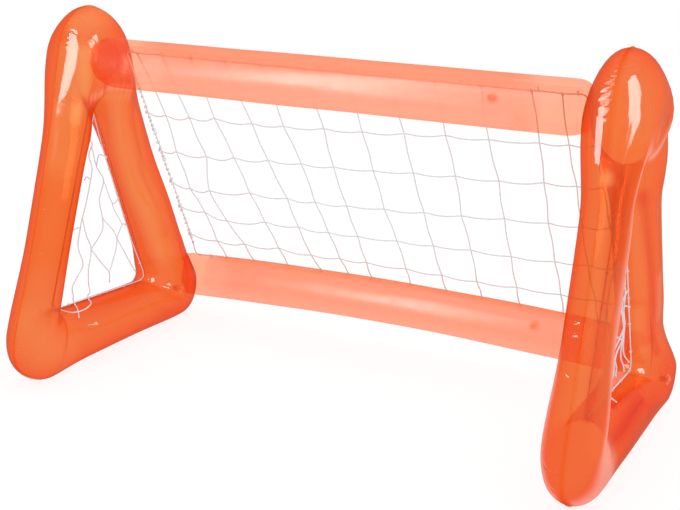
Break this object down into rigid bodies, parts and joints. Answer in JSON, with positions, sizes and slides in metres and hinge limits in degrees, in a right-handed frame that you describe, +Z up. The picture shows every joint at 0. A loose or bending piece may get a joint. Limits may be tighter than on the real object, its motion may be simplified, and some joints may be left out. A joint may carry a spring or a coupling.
{
  "type": "inflatable soccer goal",
  "caption": "Small inflatable soccer goal: triangular welded-film end frames, a crossbar and a rear bar between them, cord nets at the back and sides, and a push-in valve on each air chamber.",
  "frame": {"origin": "middle of the footprint, on the floor that the goal stands on", "axes": "+X across the goal, from the left end frame to the right one as seen from the mouth; +Y from the open mouth to the back; +Z up"},
  "size_m": [1.4028, 0.6447, 0.8219],
  "materials": {
    "frame_film": "glossy translucent neon orange PVC film, welded seams",
    "bar_film": "glossy translucent neon orange PVC film, one layer, paler than the frames",
    "valve_vinyl": "soft moulded clear vinyl with an orange tint",
    "net_cord": "thin twisted off-white cord"
  },
  "bodies": {
    "root": {"left_frame_inner_panel": "frame_film", "left_frame_outer_panel": "frame_film", "right_frame_inner_panel": "frame_film", "right_frame_outer_panel": "frame_film", "crossbar_sleeve": "bar_film", "crossbar_left_end_disc": "bar_film", "crossbar_right_end_disc": "bar_film", "rear_bar_sleeve": "bar_film", "rear_bar_left_end_disc": "bar_film", "rear_bar_right_end_disc": "bar_film", "left_frame_valve_base": "valve_vinyl", "right_frame_valve_base": "valve_vinyl", "crossbar_valve_base": "valve_vinyl", "rear_bar_valve_base": "valve_vinyl", "crossbar_net_strip": "bar_film", "rear_bar_net_strip": "bar_film", "back_net_border": "net_cord", "back_net": "net_cord", "left_side_net_border": "net_cord", "left_side_net": "net_cord", "right_side_net_border": "net_cord", "right_side_net": "net_cord"},
    "left_frame_stem": {"left_frame_valve_stem": "valve_vinyl"},
    "left_frame_plug": {"left_frame_valve_plug": "valve_vinyl"},
    "left_frame_flap": {"left_frame_valve_flap": "valve_vinyl"},
    "right_frame_stem": {"right_frame_valve_stem": "valve_vinyl"},
    "right_frame_plug": {"right_frame_valve_plug": "valve_vinyl"},
    "right_frame_flap": {"right_frame_valve_flap": "valve_vinyl"},
    "crossbar_stem": {"crossbar_valve_stem": "valve_vinyl"},
    "crossbar_plug": {"crossbar_valve_plug": "valve_vinyl"},
    "crossbar_flap": {"crossbar_valve_flap": "valve_vinyl"},
    "rear_bar_stem": {"rear_bar_valve_stem": "valve_vinyl"},
    "rear_bar_plug": {"rear_bar_valve_plug": "valve_vinyl"},
    "rear_bar_flap": {"rear_bar_valve_flap": "valve_vinyl"}
  },
  "joints": [
    {"name": "left_frame_valve_pull", "type": "slide", "parent": "root", "child": "left_frame_stem", "axis": [0.9707, -0.2084, 0.1194], "range_m": [0, 0.006]},
    {"name": "left_frame_plug_hinge", "type": "hinge", "parent": "left_frame_stem", "child": "left_frame_plug", "pos_m": [-0.55118, 0.18275, 0.09514], "axis": [-0.005, -0.5145, -0.8575], "range_deg": [0, 165]},
    {"name": "left_frame_flap_hinge", "type": "hinge", "parent": "left_frame_stem", "child": "left_frame_flap", "pos_m": [-0.56813, 0.19045, 0.09062], "axis": [0.005, 0.5145, 0.8575], "range_deg": [0, 50], "stiffness_Nm_per_rad": 0.0002},
    {"name": "right_frame_valve_pull", "type": "slide", "parent": "root", "child": "right_frame_stem", "axis": [0.985, -0.1242, 0.1194], "range_m": [0, 0.006]},
    {"name": "right_frame_plug_hinge", "type": "hinge", "parent": "right_frame_stem", "child": "right_frame_plug", "pos_m": [0.68684, 0.18859, 0.09515], "axis": [0.039, -0.5141, -0.8568], "range_deg": [0, 165]},
    {"name": "right_frame_flap_hinge", "type": "hinge", "parent": "right_frame_stem", "child": "right_frame_flap", "pos_m": [0.66929, 0.19481, 0.09062], "axis": [-0.039, 0.5141, 0.8568], "range_deg": [0, 50], "stiffness_Nm_per_rad": 0.0002},
    {"name": "crossbar_valve_pull", "type": "slide", "parent": "root", "child": "crossbar_stem", "axis": [0, 0.9781, -0.2079], "range_m": [0, 0.006]},
    {"name": "crossbar_plug_hinge", "type": "hinge", "parent": "crossbar_stem", "child": "crossbar_plug", "pos_m": [0.3408, 0.03302, 0.69291], "axis": [0, 0.2079, 0.9781], "range_deg": [0, 165]},
    {"name": "crossbar_flap_hinge", "type": "hinge", "parent": "crossbar_stem", "child": "crossbar_flap", "pos_m": [0.3454, 0.01482, 0.69678], "axis": [0, -0.2079, -0.9781], "range_deg": [0, 50], "stiffness_Nm_per_rad": 0.0002},
    {"name": "rear_bar_valve_pull", "type": "slide", "parent": "root", "child": "rear_bar_stem", "axis": [0, 0.9781, -0.2079], "range_m": [0, 0.006]},
    {"name": "rear_bar_plug_hinge", "type": "hinge", "parent": "rear_bar_stem", "child": "rear_bar_plug", "pos_m": [0.3408, 0.3028, 0.11228], "axis": [0, 0.2079, 0.9781], "range_deg": [0, 165]},
    {"name": "rear_bar_flap_hinge", "type": "hinge", "parent": "rear_bar_stem", "child": "rear_bar_flap", "pos_m": [0.3454, 0.28461, 0.11615], "axis": [0, -0.2079, -0.9781], "range_deg": [0, 50], "stiffness_Nm_per_rad": 0.0002}
  ]
}
